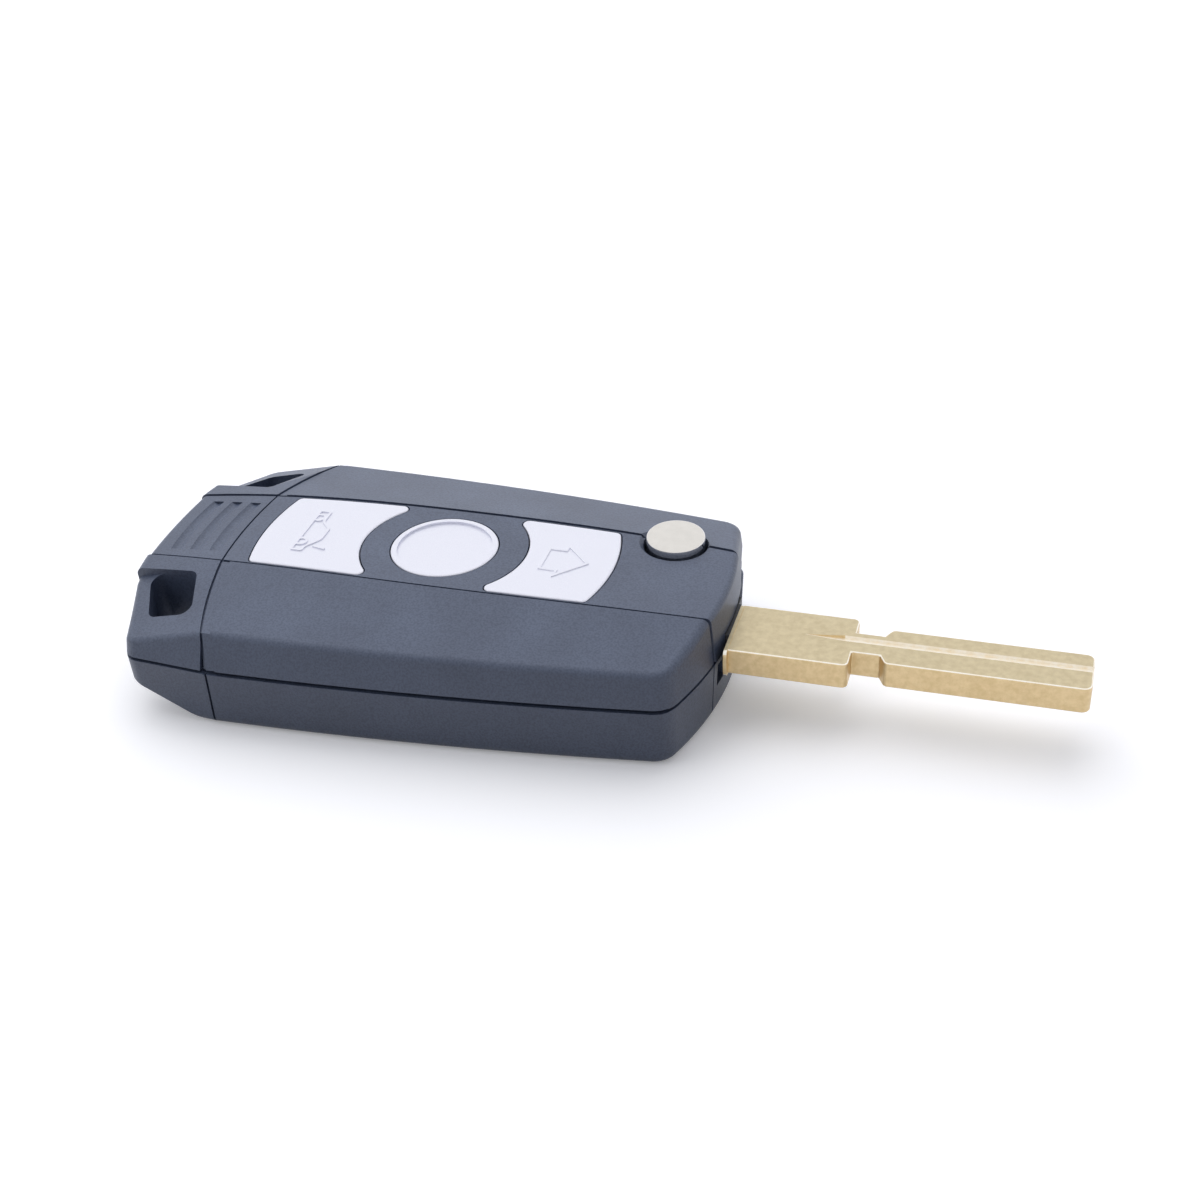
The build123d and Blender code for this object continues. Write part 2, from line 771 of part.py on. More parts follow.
def make_blade():
    """The blade with its collar, tang and the groove along each face."""
    blade = prism(blade_outline(), blade_z, blade_top)
    rims = blade.faces().sort_by(Axis.Z)
    blade = chamfer(rims[0].edges() + rims[-1].edges(), blade_edge)
    runout = groove_start + groove_runout
    track = Polyline((groove_start, 0), (runout, groove_wide / 2), (2 * wide, groove_wide / 2),
                     (2 * wide, -groove_wide / 2), (runout, -groove_wide / 2), close=True)
    groove = prism(make_face(track), blade_thick / 2 - groove_deep, high)
    for turn in (0, 180):
        blade -= Pos(0, blade_y, blade_middle) * Rot(turn, 0, 0) * groove
    back = blade_back_x - collar_thick
    wide_y = 2 * root_half + collar_out + collar_proud
    plate = Plane.YZ.offset(back) * RectangleRounded(wide_y, blade_thick + 2 * collar_proud, collar_r)
    blade += Pos(0, blade_y + (collar_proud - collar_out) / 2, blade_middle) * extrude(plate, collar_thick)
    return blade + tang() - rod((roll_pin_x, tang_y), roll_pin_r, 0, high)


def make_roll_pin():
    """The split roll pin through the arm and the tang."""
    pin = tube((roll_pin_x, tang_y), roll_pin_r, roll_pin_r - roll_pin_wall, blade_z, blade_top)
    slit = roll_pin_slit / 2
    return pin - block(roll_pin_x, wide, tang_y - slit, tang_y + slit, 0, high)


def make_release_button():
    """The release button: a domed cap with a hollow for its spring, a stem and two lugs."""
    corner = (button_r, button_top - button_dome)
    profile = ThreePointArc((0, button_top), (button_r / 2, button_top - button_dome / 4), corner)
    profile += Polyline(corner, (button_r, button_bottom), (0, button_bottom), (0, button_top))
    face = make_face(profile)
    face = fillet(face.vertices().sort_by_distance((*corner, 0))[0], button_edge_r)
    cap = Pos(*pivot) * revolve(Plane.XZ * face, Axis.Z)
    cap -= rod(pivot, button_cup_r, 0, button_top - button_skin)
    cap += rod(pivot, stem_r, stem_bottom, button_top - button_skin / 2)
    lug_start = (button_cup_r + button_r) / 2
    lug = block(lug_start, lug_reach, -lug_wide / 2, lug_wide / 2, button_bottom, lug_top)
    for number in range(lug_count):
        cap += Pos(*pivot) * Rot(0, 0, 360 / lug_count * number) * lug
    return cap - rod(pivot, stem_screw_r, 0, stem_bottom + stem_screw_long)


def make_stem_screw():
    """The screw that holds the button down against the shelf in the head."""
    top = stem_bottom - stem_washer_thick
    head = rod(pivot, stem_screw_head_r, top - stem_screw_head_high, top)
    drive = rod(pivot, stem_screw_head_r / 2, top - stem_screw_head_high, top - stem_screw_head_high / 2)
    return head - drive + rod(pivot, stem_screw_r, top, stem_bottom + stem_screw_long)


def make_lock_ring():
    """The fixed ring over the hub, with the relief that the lugs rise into."""
    ring = tube(pivot, hub_r + run_gap, button_hole_r, lock_ring_bottom, lock_ring_top)
    return ring - rod(pivot, lock_relief_r, 0, lock_relief_top)


def coil(radius, wire, low, top, turns):
    """A coil spring about the pivot."""
    rise = top - low - wire
    path = Helix(rise / turns, rise, radius)
    section = Plane(origin=path @ 0, z_dir=path % 0) * Circle(wire / 2)
    return Pos(*pivot, low + wire / 2) * sweep(section, path)


def make_bumper():
    """The rubber block that the arm rests against when the blade is open."""
    top = slot_top - bumper_low
    return block(stop_x, stop_x + bumper_long, stop_y, stop_y + bumper_thick, slot_bottom, top)


def make_stem_washer():
    """The washer between the stem's screw and the shelf."""
    return tube(pivot, stem_screw_head_r, stem_screw_r, stem_bottom - stem_washer_thick, stem_bottom)


def make_flip_spring():
    """The spring that swings the blade out, round the neck."""
    return coil(flip_spring_r, flip_wire, bush_top + run_gap, hub_bottom - run_gap, flip_turns)


def make_release_spring():
    """The spring under the release button."""
    return coil(release_spring_r, release_wire, shelf_top, button_top - button_skin, release_turns)


round_plan = Pos(round_x, 0) * Circle(round_r)
boot_plan = long_plan(boot_back_x, -boot_bulge)
lock_plan = long_plan(lock_front_x, lock_bulge)
boot_middle = (boot_back_x - boot_bulge + round_x - ring_r) / 2
lock_middle = (lock_front_x + lock_bulge + round_x + ring_r) / 2
button_middles = (boot_middle, round_x, lock_middle)

nodes = {
    "upper_shell": make_upper_shell,
    "lower_shell": make_lower_shell,
    "case_screws": make_screws,
    "boot_button": lambda: push_button(boot_plan),
    "round_button": make_round_button,
    "lock_button": lambda: push_button(lock_plan),
    "keypad_mat": make_mat,
    "keypad_plate": make_plate,
    "lock_ring": make_lock_ring,
    "pivot_bush": lambda: tube(pivot, bush_r, neck_r + run_gap, floor_z, bush_top),
    "thrust_washer": lambda: tube(pivot, hub_r, cup_r, washer_bottom, hub_bottom - run_gap),
    "flip_spring": make_flip_spring,
    "open_stop": make_bumper,
    "blade_head": make_head,
    "key_blade": make_blade,
    "blade_pin": make_roll_pin,
    "release_button": make_release_button,
    "stem_washer": make_stem_washer,
    "stem_screw": make_stem_screw,
    "release_spring": make_release_spring,
}

os.makedirs("parts", exist_ok=True)
for name, make in nodes.items():
    solid = make()
    print(name, len(solid.solids()), round(solid.volume, 1), solid.is_valid)
    export_step(solid, f"parts/{name}.step")
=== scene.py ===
import json
from math import atan, radians

import bmesh
import bpy
from mathutils import Matrix, Vector


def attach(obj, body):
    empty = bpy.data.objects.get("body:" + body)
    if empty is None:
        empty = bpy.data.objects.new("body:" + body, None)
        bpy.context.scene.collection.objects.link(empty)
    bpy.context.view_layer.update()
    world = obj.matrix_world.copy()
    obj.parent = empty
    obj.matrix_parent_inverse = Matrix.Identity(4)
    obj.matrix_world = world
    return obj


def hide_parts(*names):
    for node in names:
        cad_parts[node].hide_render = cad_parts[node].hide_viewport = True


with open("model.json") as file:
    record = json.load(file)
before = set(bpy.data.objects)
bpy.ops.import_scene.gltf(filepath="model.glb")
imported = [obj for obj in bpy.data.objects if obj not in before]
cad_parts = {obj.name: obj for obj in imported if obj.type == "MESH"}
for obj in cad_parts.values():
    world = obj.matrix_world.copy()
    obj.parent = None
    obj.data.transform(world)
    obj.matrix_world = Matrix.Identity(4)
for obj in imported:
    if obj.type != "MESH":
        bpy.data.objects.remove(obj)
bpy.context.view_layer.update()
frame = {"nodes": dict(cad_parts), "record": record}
nodes = frame["nodes"]
bpy.ops.object.select_all(action="DESELECT")
print("frame loaded:", len(nodes), "nodes")

mm = 0.001
tiny = 0.01     # in millimetres, the room for rounding when points are picked by place
straight = 1    # in degrees, a corner that turns less than this is none


# materials

slowChange = (0.3, 0.7)     # the zone of a noise over which its two tones change
quickChange = (0.35, 0.65)


def linear(hexColour):
    # an sRGB hex value as the linear colour that the shaders expect
    parts = [int(hexColour[i:i + 2], 16) / 255 for i in (1, 3, 5)]
    return [c / 12.92 if c <= 0.04045 else ((c + 0.055) / 1.055) ** 2.4 for c in parts] + [1.0]


def addNode(tree, kind, settings=None, values=None, links=None):
    node = tree.nodes.new(kind)
    for name, value in (settings or {}).items():
        setattr(node, name, value)
    for name, value in (values or {}).items():
        node.inputs[name].default_value = value
    for name, source in (links or {}).items():
        tree.links.new(source, node.inputs[name])
    return node


def newMaterial(name, shaderValues):
    material = bpy.data.materials.new(name)
    material.use_nodes = True
    tree = material.node_tree
    shader = tree.nodes["Principled BSDF"]
    for socket, value in shaderValues.items():
        shader.inputs[socket].default_value = value
    place = addNode(tree, "ShaderNodeTexCoord").outputs["Object"]
    return material, tree, shader, place


def grain(tree, place, sizeMm, detail, rough=0.5):
    # noise whose lumps are about sizeMm across
    return addNode(tree, "ShaderNodeTexNoise", None,
                   {"Scale": 1 / (sizeMm * mm), "Detail": detail, "Roughness": rough},
                   {"Vector": place}).outputs["Fac"]


def ramp(tree, factor, zone, tones):
    # goes from the first tone to the second over that zone of the factor
    node = addNode(tree, "ShaderNodeValToRGB", links={"Fac": factor})
    for stop, position, tone in zip(node.color_ramp.elements, zone, tones):
        stop.position = position
        stop.color = linear(tone)
    return node.outputs["Color"]


def coverWith(tree, shader, colour, relief, deepMm):
    # gives the surface its colour and its fine relief
    tree.links.new(colour, shader.inputs["Base Color"])
    bump = addNode(tree, "ShaderNodeBump", None, {"Distance": deepMm * mm, "Strength": 1.0}, {"Height": relief})
    tree.links.new(bump.outputs["Normal"], shader.inputs["Normal"])


casePlastic = {
    "tones": ("#4b5468", "#545e73"), "cloudMm": 9.0,     # slate grey ABS from a spark-eroded mould
    "rough": 0.42, "ior": 1.55,
    "grainMm": 0.24, "grainDeepMm": 0.025,     # even texture that kills the gloss, coarser than real so that it shows
    "pits": ("#dcdde1", "#ffffff"), "pitChange": (0.35, 0.6),     # painted shade: the pits are drawn a little darker
}


def makeCasePlastic():
    look = casePlastic
    material, tree, shader, place = newMaterial("mouldedAbsSlate", {"Roughness": look["rough"], "IOR": look["ior"]})
    tone = ramp(tree, grain(tree, place, look["cloudMm"], 3.0), slowChange, look["tones"])
    pits = grain(tree, place, look["grainMm"], 1.0)
    # painted shade, darker where the grain's relief is low
    shade = ramp(tree, pits, look["pitChange"], look["pits"])
    colour = addNode(tree, "ShaderNodeMix", {"data_type": "RGBA", "blend_type": "MULTIPLY"}, {0: 1.0},
                     {6: tone, 7: shade})
    coverWith(tree, shader, colour.outputs[2], pits, look["grainDeepMm"])
    return material


silverPaint = {
    "tones": ("#e0e1ed", "#e9eaf4"),     # fine aluminium flake under a satin clear coat: pale, with a soft shine
    "metallic": 0.55, "rough": 0.34, "coat": 0.25, "coatRough": 0.25,
    "flakeMm": 0.07, "flakeDeepMm": 0.002,     # flakes drawn coarser than real so that they show
}


def makeSilverPaint():
    look = silverPaint
    material, tree, shader, place = newMaterial(
        "satinSilverPaint", {"Metallic": look["metallic"], "Roughness": look["rough"],
                             "Coat Weight": look["coat"], "Coat Roughness": look["coatRough"]})
    flake = grain(tree, place, look["flakeMm"], 1.0)
    coverWith(tree, shader, ramp(tree, flake, quickChange, look["tones"]), flake, look["flakeDeepMm"])
    return material


bladeBrass = {
    "side": ("#d3ba8c", "#e1c99d"),      # nickel silver, with painted reflection: yellower on its sides,
    "paintedHighlight": ("#fdf2dd", "#fffcf5"),    # painted highlight: near white on the edges and on the groove's ramp
    "face": ("#cbbc9b", "#d8caa9"),      # and painted paler on the two flat faces
    "paintedHighlightZone": (0.25, 0.5), "flat": (0.97, 0.995),     # upward share of the normal where a tone gives way to the next
    "metallic": 0.9, "rough": 0.36,
    "mottleMm": 0.8, "mottleRough": 0.6, "speckMm": 0.16, "speckDeepMm": 0.004,
}


def makeBladeBrass():
    look = bladeBrass
    material, tree, shader, place = newMaterial(
        "milledNickelSilver", {"Metallic": look["metallic"], "Roughness": look["rough"]})
    mottle = grain(tree, place, look["mottleMm"], 5.0, look["mottleRough"])
    # painted reflection and painted highlight: the tone is picked by which way the surface faces
    colour, paintedHighlight, face = [ramp(tree, mottle, quickChange, look[tone]) for tone in ("side", "paintedHighlight", "face")]
    normal = addNode(tree, "ShaderNodeSeparateXYZ", None, None,
                     {"Vector": addNode(tree, "ShaderNodeTexCoord").outputs["Normal"]})
    upward = addNode(tree, "ShaderNodeMath", {"operation": "ABSOLUTE"}, None, {0: normal.outputs["Z"]})
    # painted highlight where the surface turns between side and top, then the paler tone of the flat faces
    for zone, tone in (("paintedHighlightZone", paintedHighlight), ("flat", face)):
        share = addNode(tree, "ShaderNodeMapRange", None, {"From Min": look[zone][0], "From Max": look[zone][1]},
                        {"Value": upward.outputs[0]})
        colour = addNode(tree, "ShaderNodeMix", {"data_type": "RGBA"}, None,
                         {0: share.outputs[0], 6: colour, 7: tone}).outputs[2]
    coverWith(tree, shader, colour, grain(tree, place, look["speckMm"], 2.0), look["speckDeepMm"])
    return material


brightNickel = {
    "tones": ("#dddad6", "#e2dfdb"), "rough": 0.08,     # polished nickel plate: a clear, slightly warm mirror
    "hazeMm": 1.5, "waveMm": 0.6, "waveDeepMm": 0.0002,
}


def makeBrightNickel():
    look = brightNickel
    material, tree, shader, place = newMaterial("polishedNickelPlate", {"Metallic": 1.0, "Roughness": look["rough"]})
    haze = ramp(tree, grain(tree, place, look["hazeMm"], 3.0), slowChange, look["tones"])
    coverWith(tree, shader, haze, grain(tree, place, look["waveMm"], 1.0), look["waveDeepMm"])
    return material


plainMetal = {"metallic": 1.0, "detail": 3.0, "deepMm": 0.003}
plainSoft = {"metallic": 0.0, "detail": 2.0, "deepMm": 0.006}
plainFinishes = {     # slot: name, kind, roughness, size of the spots in mm, tones
    "mat_rubber": ("siliconeRubber", plainSoft, 0.7, 0.3, ("#1b1b1d", "#222224")),         # pressed, matt black
    "inner_plastic": ("plainAbsBlack", plainSoft, 0.45, 0.4, ("#1d1e21", "#25262a")),      # moulded, satin black
    "head_metal": ("dieCastZinc", plainMetal, 0.5, 0.35, ("#4b4c4f", "#5b5c5f")),          # cast, dull dark grey
    "spring_steel": ("drawnSpringSteel", plainMetal, 0.3, 0.2, ("#8d8f93", "#a3a5a9")),    # drawn, cool grey shine
    "screw_steel": ("zincPlatedSteel", plainMetal, 0.35, 0.25, ("#85888d", "#9a9da2")),    # plated, cloudy grey
    "bush_brass": ("turnedBrass", plainMetal, 0.3, 0.3, ("#a88846", "#c2a25c")),           # turned, warm yellow
}


def makePlain(name, kind, rough, spotMm, tones):
    material, tree, shader, place = newMaterial(name, {"Metallic": kind["metallic"], "Roughness": rough})
    spots = grain(tree, place, spotMm, kind["detail"])
    coverWith(tree, shader, ramp(tree, spots, slowChange, tones), spots, kind["deepMm"])
    return material


finishes = {
    "case_plastic": makeCasePlastic(), "silver_paint": makeSilverPaint(),
    "blade_brass": makeBladeBrass(), "bright_nickel": makeBrightNickel(),
}
for slot, finish in plainFinishes.items():
    finishes[slot] = makePlain(*finish)
slotOf = {part["node"]: part["material_slot"] for part in frame["record"]["subparts"]}
for name, node in nodes.items():
    node.data.materials.clear()
    node.data.materials.append(finishes[slotOf[name]])
print("materials:", len(finishes))


# tools for the pieces, which are drawn in millimetres

def selectWhere(piece, kind, test):
    # selects the vertices, edges or faces whose middle passes the test
    bpy.ops.mesh.select_mode(type=kind)
    bpy.ops.mesh.select_all(action="DESELECT")
    mesh = bmesh.from_edit_mesh(piece.data)
    if kind == "VERT":
        for vert in mesh.verts:
            vert.select_set(test(vert.co))
    else:
        for item in mesh.edges if kind == "EDGE" else mesh.faces:
            item.select_set(test(sum((vert.co for vert in item.verts), Vector()) / len(item.verts)))
    bmesh.update_edit_mesh(piece.data)


def startPlate(name, xLow, xHigh, yLow, yHigh):
    # a flat plate, its object at the origin and left in edit mode
    bpy.ops.mesh.primitive_plane_add(size=1, location=(0, 0, 0))
    plate = bpy.context.object
    plate.name = name
    bpy.ops.object.mode_set(mode="EDIT")
    bpy.ops.transform.resize(value=(xHigh - xLow, yHigh - yLow, 1), center_override=(0, 0, 0))
    bpy.ops.transform.translate(value=((xLow + xHigh) / 2, (yLow + yHigh) / 2, 0))
    return plate


def cutAt(place, normal):
    bpy.ops.mesh.select_all(action="SELECT")
    bpy.ops.mesh.bisect(plane_co=place, plane_no=normal)


def joinFaces():
    bpy.ops.mesh.select_mode(type="FACE")
    bpy.ops.mesh.select_all(action="SELECT")
    bpy.ops.mesh.dissolve_faces()


def thicken(high):
    # gives the flat shape its height, faces outwards, and leaves edit mode
    bpy.ops.mesh.select_all(action="SELECT")
    bpy.ops.mesh.extrude_region_move(TRANSFORM_OT_translate={"value": (0, 0, high)})
    bpy.ops.mesh.select_all(action="SELECT")
    bpy.ops.mesh.normals_make_consistent(inside=False)
    bpy.ops.object.mode_set(mode="OBJECT")


def makeBox(name, xLow, xHigh, yLow, yHigh, low, high):
    box = startPlate(name, xLow, xHigh, yLow, yHigh)
    bpy.ops.mesh.select_all(action="SELECT")
    bpy.ops.transform.translate(value=(0, 0, low))
    thicken(high - low)
    return box


def addModifier(piece, kind, settings):
    bpy.ops.object.select_all(action="DESELECT")
    piece.select_set(True)
    bpy.context.view_layer.objects.active = piece
    modifier = piece.modifiers.new(kind.lower(), kind)
    for name, value in settings.items():
        setattr(modifier, name, value)
    bpy.ops.object.modifier_apply(modifier=modifier.name)


def combine(piece, operation, parts):
    for part in parts:
        addModifier(piece, "BOOLEAN", {"operation": operation, "solver": "EXACT", "object": part})
        bpy.data.objects.remove(part)


def placeBy(piece, matrix):
    bpy.ops.object.select_all(action="DESELECT")
    piece.select_set(True)
    bpy.context.view_layer.objects.active = piece
    piece.matrix_world = matrix
    bpy.ops.object.transform_apply(location=True, rotation=True, scale=True)


def finishPiece(piece, slot, body):
    piece.data.materials.clear()
    piece.data.materials.append(finishes[slot])
    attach(piece, body)


# raised outlines on the two long buttons

outlineEdge = {"steps": 2, "smooth": 40}     # softened edges, smooth up to that many degrees


def drawLine(look, rounded=0.0):
    # turns the flat shape into a line that follows its edge
    joinFaces()
    if rounded:
        bpy.ops.mesh.bevel(affect="VERTICES", offset=rounded, segments=look["cornerSteps"])
        bpy.ops.mesh.select_mode(type="FACE")
        bpy.ops.mesh.select_all(action="SELECT")
    bpy.ops.mesh.inset(thickness=look["lineWide"], depth=0, use_boundary=True)
    bpy.ops.mesh.delete(type="FACE")


def raiseLine(look):
    thicken(look["lineHigh"] + look["lineSunk"])


def topAt(node, x):
    # height of a button's crowned top on the centre line
    found = nodes[node].ray_cast(Vector((x * mm, 0, 1)), Vector((0, 0, -1)),
                                 depsgraph=bpy.context.evaluated_depsgraph_get())
    return found[1].z / mm


def seatOutline(piece, look, node, body):
    # softens the line's edges and lays it on the crowned button
    addModifier(piece, "BEVEL", {"width": look["edge"], "segments": outlineEdge["steps"], "limit_method": "ANGLE"})
    bpy.ops.object.shade_smooth_by_angle(angle=radians(outlineEdge["smooth"]))
    low, high = look["span"]
    slope = (topAt(node, high) - topAt(node, low)) / (high - low)
    middle = Vector(((low + high) / 2, 0, 0))
    seat = Vector((middle.x, 0, topAt(node, middle.x) - look["lineSunk"]))
    placeBy(piece, Matrix.Scale(mm, 4) @ Matrix.Translation(seat) @ Matrix.Rotation(-atan(slope), 4, "Y")
            @ Matrix.Translation(-middle))
    finishPiece(piece, "silver_paint", body)


lockArrow = {
    "span": (13.3, 19.05), "headX": 15.4,     # the arrow points to the blade's end
    "shaftHalf": 2.4, "headHalf": 3.75,
    "lineWide": 0.36, "lineHigh": 0.14, "lineSunk": 0.15, "edge": 0.08,     # above the button's top, and down into it
}


def makeLockArrow():
    look = lockArrow
    back, tip = look["span"]
    arrow = startPlate("lock_arrow", back, tip, -look["headHalf"], look["headHalf"])
    cutAt((look["headX"], 0, 0), (1, 0, 0))
    for side in (-1, 1):
        cutAt((0, side * look["shaftHalf"], 0), (0, 1, 0))
    selectWhere(arrow, "FACE", lambda p: p.x < look["headX"] and abs(p.y) > look["shaftHalf"])
    bpy.ops.mesh.delete(type="FACE")
    selectWhere(arrow, "VERT", lambda p: p.x > tip - tiny)
    bpy.ops.mesh.merge(type="CENTER")
    drawLine(look)
    raiseLine(look)
    seatOutline(arrow, look, "lock_button", "lock_key")


bootCar = {
    "span": (-17.95, -14.85), "deckX": -16.25,     # wheels to the keyring end, roof to the blade's end
    "rearY": -4.6, "frontY": 4.9, "glassRearY": -3.7, "glassFrontY": 2.4,
    "roofRearY": -1.7, "roofFrontY": 0.9, "corner": 0.3, "cornerSteps": 3,
    "lineWide": 0.32, "lineHigh": 0.14, "lineSunk": 0.15, "edge": 0.08,
    "wheelX": -17.3, "wheelsY": (-2.5, 3.2), "wheelR": 0.85, "wheelSides": 28,
    "lidStart": (-15.35, -3.3), "lidLong": 1.75, "lidTurn": 14,
}


def makeWheel(look, y):
    bpy.ops.mesh.primitive_circle_add(vertices=look["wheelSides"], radius=look["wheelR"], fill_type="NGON",
                                      location=(0, 0, 0))
    wheel = bpy.context.object
    bpy.ops.object.mode_set(mode="EDIT")
    bpy.ops.transform.translate(value=(look["wheelX"], y, 0))
    drawLine(look)
    raiseLine(look)
    return wheel


def makeLid(look):
    startX, startY = look["lidStart"]
    half = look["lineWide"] / 2
    lid = startPlate("boot_lid", startX, startX + look["lidLong"], startY - half, startY + half)
    raiseLine(look)
    hinge = Matrix.Translation((startX, startY, 0))
    placeBy(lid, hinge @ Matrix.Rotation(-radians(look["lidTurn"]), 4, "Z") @ hinge.inverted())
    return lid


def makeBootCar():
    look = bootCar
    sill, roof = look["span"]
    car = startPlate("boot_car", sill, look["deckX"], look["rearY"], look["frontY"])
    for y in (look["glassRearY"], look["glassFrontY"]):
        cutAt((0, y, 0), (0, 1, 0))
    middle = (look["glassRearY"] + look["glassFrontY"]) / 2
    selectWhere(car, "EDGE", lambda p: p.x > look["deckX"] - tiny and abs(p.y - middle) < tiny)
    bpy.ops.mesh.extrude_region_move(TRANSFORM_OT_translate={"value": (roof - look["deckX"], 0, 0)})
    share = (look["roofFrontY"] - look["roofRearY"]) / (look["glassFrontY"] - look["glassRearY"])
    bpy.ops.transform.resize(value=(1, share, 1), center_override=(0, middle, 0))
    roofMiddle = (look["roofFrontY"] + look["roofRearY"]) / 2
    bpy.ops.transform.translate(value=(0, roofMiddle - middle, 0))
    drawLine(look, look["corner"])
    raiseLine(look)
    combine(car, "UNION", [makeWheel(look, y) for y in look["wheelsY"]] + [makeLid(look)])
    seatOutline(car, look, "boot_button", "boot_key")


makeLockArrow()
makeBootCar()
print("outlines on the buttons")


# blade, milled from flat stock

keyBlade = {
    "rootX": 37.2, "rootEndX": 51.2, "waistEndX": 54.45, "mainX": 55.2, "tipX": 78.0,
    "rootHalf": 4.75, "waistHalf": 1.95, "mainHalf": 3.4, "middleY": -1.76, "low": 6.1, "high": 9.4,
    "tipR": 1.0, "stepR": 0.7, "mainR": 0.4, "cornerSteps": 8,
    "edge": 0.16, "edgeSteps": 3, "edgeFrom": 50,     # edges that turn more than edgeFrom degrees are broken
    "smooth": 13,                                     # less than the track's slope, so that its edges stay crisp
    "track": {
        "startX": 45.2, "fullX": 50.0, "startY": -1.45, "startShare": 0.05,     # it runs out towards the root
        "farY": -0.66, "nearY": -1.84, "deep": 0.3,     # a steep far wall and a ramp up to the near edge
        "wallRun": 0.14,                                # how far the wall leans back over that depth
        "above": 0.02, "pastTip": 1.0,                  # the cutter leaves the face and the tip cleanly
    },
    "collar": {"startX": 36.95, "near": 5.45, "far": 4.85, "proud": 0.1, "cornerR": 0.6},
    "tang": {"startX": 30.3, "y": -0.35, "half": 2.25, "thick": 1.6, "pinX": 33.2, "pinR": 0.9, "pinSides": 32},
}
bladeMiddle = (keyBlade["low"] + keyBlade["high"]) / 2


def roundCorners(piece, test, radius):
    selectWhere(piece, "VERT", test)
    bpy.ops.mesh.bevel(affect="VERTICES", offset=radius, segments=keyBlade["cornerSteps"])


def makeBladeStock():
    look = keyBlade

    def off(p):
        return abs(p.y - look["middleY"])

    blade = startPlate("machined_blade", look["rootX"], look["tipX"], look["middleY"] - look["rootHalf"],
                       look["middleY"] + look["rootHalf"])
    for x in (look["rootEndX"], look["waistEndX"], look["mainX"]):
        cutAt((x, 0, 0), (1, 0, 0))
    for half in (look["waistHalf"], look["mainHalf"]):
        for side in (-1, 1):
            cutAt((0, look["middleY"] + side * half, 0), (0, 1, 0))
    selectWhere(blade, "FACE", lambda p: p.x > look["rootEndX"] and off(p) > look["mainHalf"]
                or look["rootEndX"] < p.x < look["waistEndX"] and off(p) > look["waistHalf"])
    bpy.ops.mesh.delete(type="FACE")
    for side in (-1, 1):     # the waist ends in a slope up to the main part
        selectWhere(blade, "VERT", lambda p: abs(p.x - look["waistEndX"]) < tiny
                    and side * (p.y - look["middleY"]) > look["mainHalf"] - tiny)
        bpy.ops.transform.translate(value=(0, side * (look["waistHalf"] - look["mainHalf"]), 0))
    bpy.ops.mesh.select_all(action="SELECT")
    bpy.ops.mesh.remove_doubles(threshold=tiny)
    joinFaces()
    bpy.ops.mesh.dissolve_limited(angle_limit=radians(straight))     # no points left along the straight edges
    roundCorners(blade, lambda p: p.x > look["tipX"] - tiny, look["tipR"])
    roundCorners(blade, lambda p: abs(p.x - look["rootEndX"]) < tiny and off(p) > look["mainHalf"], look["stepR"])
    roundCorners(blade, lambda p: abs(p.x - look["mainX"]) < tiny, look["mainR"])
    bpy.ops.mesh.select_all(action="SELECT")
    bpy.ops.transform.translate(value=(0, 0, look["low"]))
    thicken(look["high"] - look["low"])
    addModifier(blade, "BEVEL", {"width": look["edge"], "segments": look["edgeSteps"], "limit_method": "ANGLE",
                                 "angle_limit": radians(look["edgeFrom"])})
    return blade


def makeTrack():
    # what the cutter takes out of the upper face
    look, face = keyBlade["track"], keyBlade["high"]
    track = startPlate("track", look["startX"], keyBlade["tipX"] + look["pastTip"], look["nearY"], look["farY"])
    cutAt((look["fullX"], 0, 0), (1, 0, 0))
    bpy.ops.mesh.select_all(action="SELECT")
    bpy.ops.transform.translate(value=(0, 0, face - look["deep"]))
    thicken(2 * look["deep"])
    bpy.ops.object.mode_set(mode="EDIT")
    middle = (look["nearY"] + look["farY"]) / 2

    def full(p):
        return p.x > look["fullX"] - tiny

    selectWhere(track, "VERT", lambda p: p.z < face and (p.y < middle or not full(p)))
    bpy.ops.transform.translate(value=(0, 0, look["deep"] + look["above"]))
    selectWhere(track, "VERT", lambda p: p.z < face and p.y > middle and full(p))
    bpy.ops.transform.translate(value=(0, -look["wallRun"], 0))
    selectWhere(track, "VERT", lambda p: p.z > face and p.y > middle and full(p))
    bpy.ops.transform.translate(value=(0, look["wallRun"], 0))
    selectWhere(track, "VERT", lambda p: not full(p))
    bpy.ops.transform.resize(value=(1, look["startShare"], 1), center_override=(look["startX"], look["startY"], 0))
    bpy.ops.object.mode_set(mode="OBJECT")
    return track


def makeCollar():
    look, blade = keyBlade["collar"], keyBlade
    collar = makeBox("collar", look["startX"], blade["rootX"] + blade["edge"],
                     blade["middleY"] - look["near"], blade["middleY"] + look["far"],
                     blade["low"] - look["proud"], blade["high"] + look["proud"])
    bpy.ops.object.mode_set(mode="EDIT")
    selectWhere(collar, "EDGE", lambda p: look["startX"] < p.x < blade["rootX"]
                and abs(p.z - bladeMiddle) > blade["high"] - bladeMiddle
                and abs(p.y - blade["middleY"]) > blade["rootHalf"])
    bpy.ops.mesh.bevel(offset=look["cornerR"], segments=blade["cornerSteps"])
    bpy.ops.object.mode_set(mode="OBJECT")
    return collar


def makeTang():
    look = keyBlade["tang"]
    tang = makeBox("tang", look["startX"], keyBlade["rootX"], look["y"] - look["half"], look["y"] + look["half"],
                   bladeMiddle - look["thick"] / 2, bladeMiddle + look["thick"] / 2)
    bpy.ops.mesh.primitive_cylinder_add(vertices=look["pinSides"], radius=look["pinR"], depth=keyBlade["high"],
                                        location=(look["pinX"], look["y"], bladeMiddle))
    combine(tang, "DIFFERENCE", [bpy.context.object])
    return tang


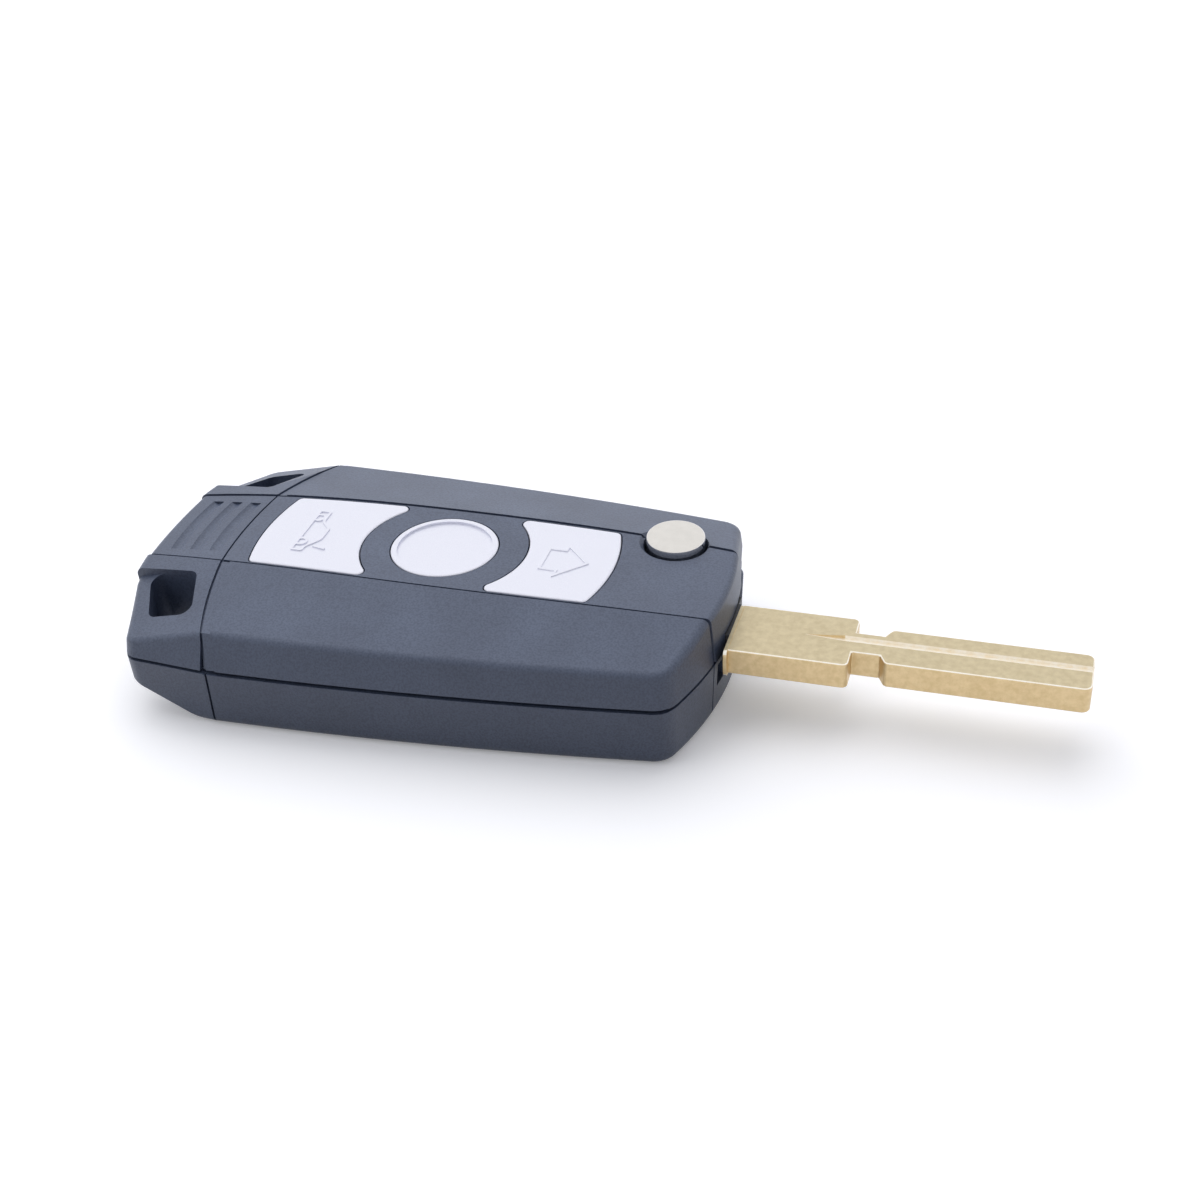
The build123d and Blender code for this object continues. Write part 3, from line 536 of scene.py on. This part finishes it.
def makeKeyBlade():
    blade = makeBladeStock()
    upper = makeTrack()
    lower = makeTrack()
    axis = Matrix.Translation((0, keyBlade["middleY"], bladeMiddle))
    placeBy(lower, axis @ Matrix.Rotation(radians(180), 4, "X") @ axis.inverted())
    combine(blade, "DIFFERENCE", [upper, lower])
    combine(blade, "UNION", [makeCollar(), makeTang()])
    placeBy(blade, Matrix.Scale(mm, 4))
    bpy.ops.object.shade_smooth_by_angle(angle=radians(keyBlade["smooth"]))
    finishPiece(blade, "blade_brass", "blade_unit")
    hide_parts("key_blade")


makeKeyBlade()
print("blade milled")


# floor, light and camera

studio = {
    "floorSize": 1.2, "floorColour": "#f4f4f6", "bounceColour": "#b0b0b2", "floorGlow": 0.2,
    "worldColour": "#eceffa", "worldFront": 0.07, "worldBack": 0.85,     # a pale room, brighter behind the object
}
lamps = {     # place, target and size in metres
    "keyLamp": {"place": (-0.32, 0.46, 0.84), "target": (0.01, 0, 0), "watts": 10.0, "size": 1.3},
    "fillLamp": {"place": (-0.5, -0.35, 0.45), "target": (0.01, 0, 0), "watts": 1.0, "size": 0.5},
}
eye = {
    "place": (0.07368, -0.1663, 0.125586), "right": (0.9593, 0.2791, -0.0425), "ahead": (-0.2552, 0.7930, -0.5532),
    "lensMm": 52.21, "sensorMm": 36.0, "nearest": 0.01,
}


def eitherRay(tree, first, second):
    return addNode(tree, "ShaderNodeMath", {"operation": "MAXIMUM"}, None, {0: first, 1: second}).outputs[0]


def makeFloor():
    bpy.ops.mesh.primitive_plane_add(size=studio["floorSize"], location=(0, 0, 0))
    floor = bpy.context.object
    floor.name = "studioFloor"
    material = bpy.data.materials.new("whiteSweep")
    material.use_nodes = True
    tree = material.node_tree
    tree.nodes.clear()
    ray = addNode(tree, "ShaderNodeLightPath").outputs
    # the camera and mirrors see the floor pale and glowing a little, other light meets it greyer
    seen = eitherRay(tree, ray["Is Camera Ray"], ray["Is Glossy Ray"])
    tone = addNode(tree, "ShaderNodeMix", {"data_type": "RGBA"},
                   {6: linear(studio["bounceColour"]), 7: linear(studio["floorColour"])}, {0: seen})
    paint = addNode(tree, "ShaderNodeBsdfDiffuse", None, None, {"Color": tone.outputs[2]})
    level = addNode(tree, "ShaderNodeMath", {"operation": "MULTIPLY"}, {1: studio["floorGlow"]}, {0: seen})
    glow = addNode(tree, "ShaderNodeEmission", None, None, {"Strength": level.outputs[0]})
    both = addNode(tree, "ShaderNodeAddShader", None, None, {0: paint.outputs[0], 1: glow.outputs[0]})
    addNode(tree, "ShaderNodeOutputMaterial", None, None, {"Surface": both.outputs[0]})
    floor.data.materials.append(material)


def makeWorld():
    world = bpy.data.worlds.new("paleStudio")
    bpy.context.scene.world = world
    world.use_nodes = True
    tree = world.node_tree
    tree.nodes.clear()
    side = addNode(tree, "ShaderNodeSeparateXYZ", None, None,
                   {"Vector": addNode(tree, "ShaderNodeTexCoord").outputs["Generated"]})
    level = addNode(tree, "ShaderNodeMapRange", None,
                    {"From Min": -1.0, "From Max": 1.0, "To Min": studio["worldFront"], "To Max": studio["worldBack"]},
                    {"Value": side.outputs["Y"]})
    light = addNode(tree, "ShaderNodeBackground", None, {"Color": linear(studio["worldColour"])},
                    {"Strength": level.outputs[0]})
    # the camera and mirrors see plain white, other light comes from the uneven room
    white = addNode(tree, "ShaderNodeBackground", None, {"Color": (1, 1, 1, 1), "Strength": 1.0})
    ray = addNode(tree, "ShaderNodeLightPath").outputs
    shown = eitherRay(tree, eitherRay(tree, ray["Is Camera Ray"], ray["Is Glossy Ray"]), ray["Is Transmission Ray"])
    both = addNode(tree, "ShaderNodeMixShader", None, None,
                   {0: shown, 1: light.outputs[0], 2: white.outputs[0]})
    addNode(tree, "ShaderNodeOutputWorld", None, None, {"Surface": both.outputs[0]})


def makeLamp(name, place, target, watts, size):
    bpy.ops.object.light_add(type="AREA", location=place)
    lamp = bpy.context.object
    lamp.name = name
    lamp.data.energy = watts
    lamp.data.size = size
    lamp.visible_glossy = False     # metal shows the pale room, not the lamp
    aim = Vector(target) - Vector(place)
    lamp.rotation_euler = aim.to_track_quat("-Z", "Y").to_euler()


def makeCamera():
    ahead = Vector(eye["ahead"]).normalized()
    right = Vector(eye["right"])
    right = (right - ahead * right.dot(ahead)).normalized()
    up = right.cross(ahead)
    bpy.ops.object.camera_add()
    camera = bpy.context.object
    camera.data.lens = eye["lensMm"]
    camera.data.sensor_width = eye["sensorMm"]
    camera.data.clip_start = eye["nearest"]
    camera.matrix_world = Matrix.LocRotScale(Vector(eye["place"]), Matrix((right, up, -ahead)).transposed(), None)
    bpy.context.scene.camera = camera


makeFloor()
makeWorld()
for name, lamp in lamps.items():
    makeLamp(name, **lamp)
bpy.context.scene.view_settings.view_transform = "Standard"
makeCamera()
print("studio and camera set")
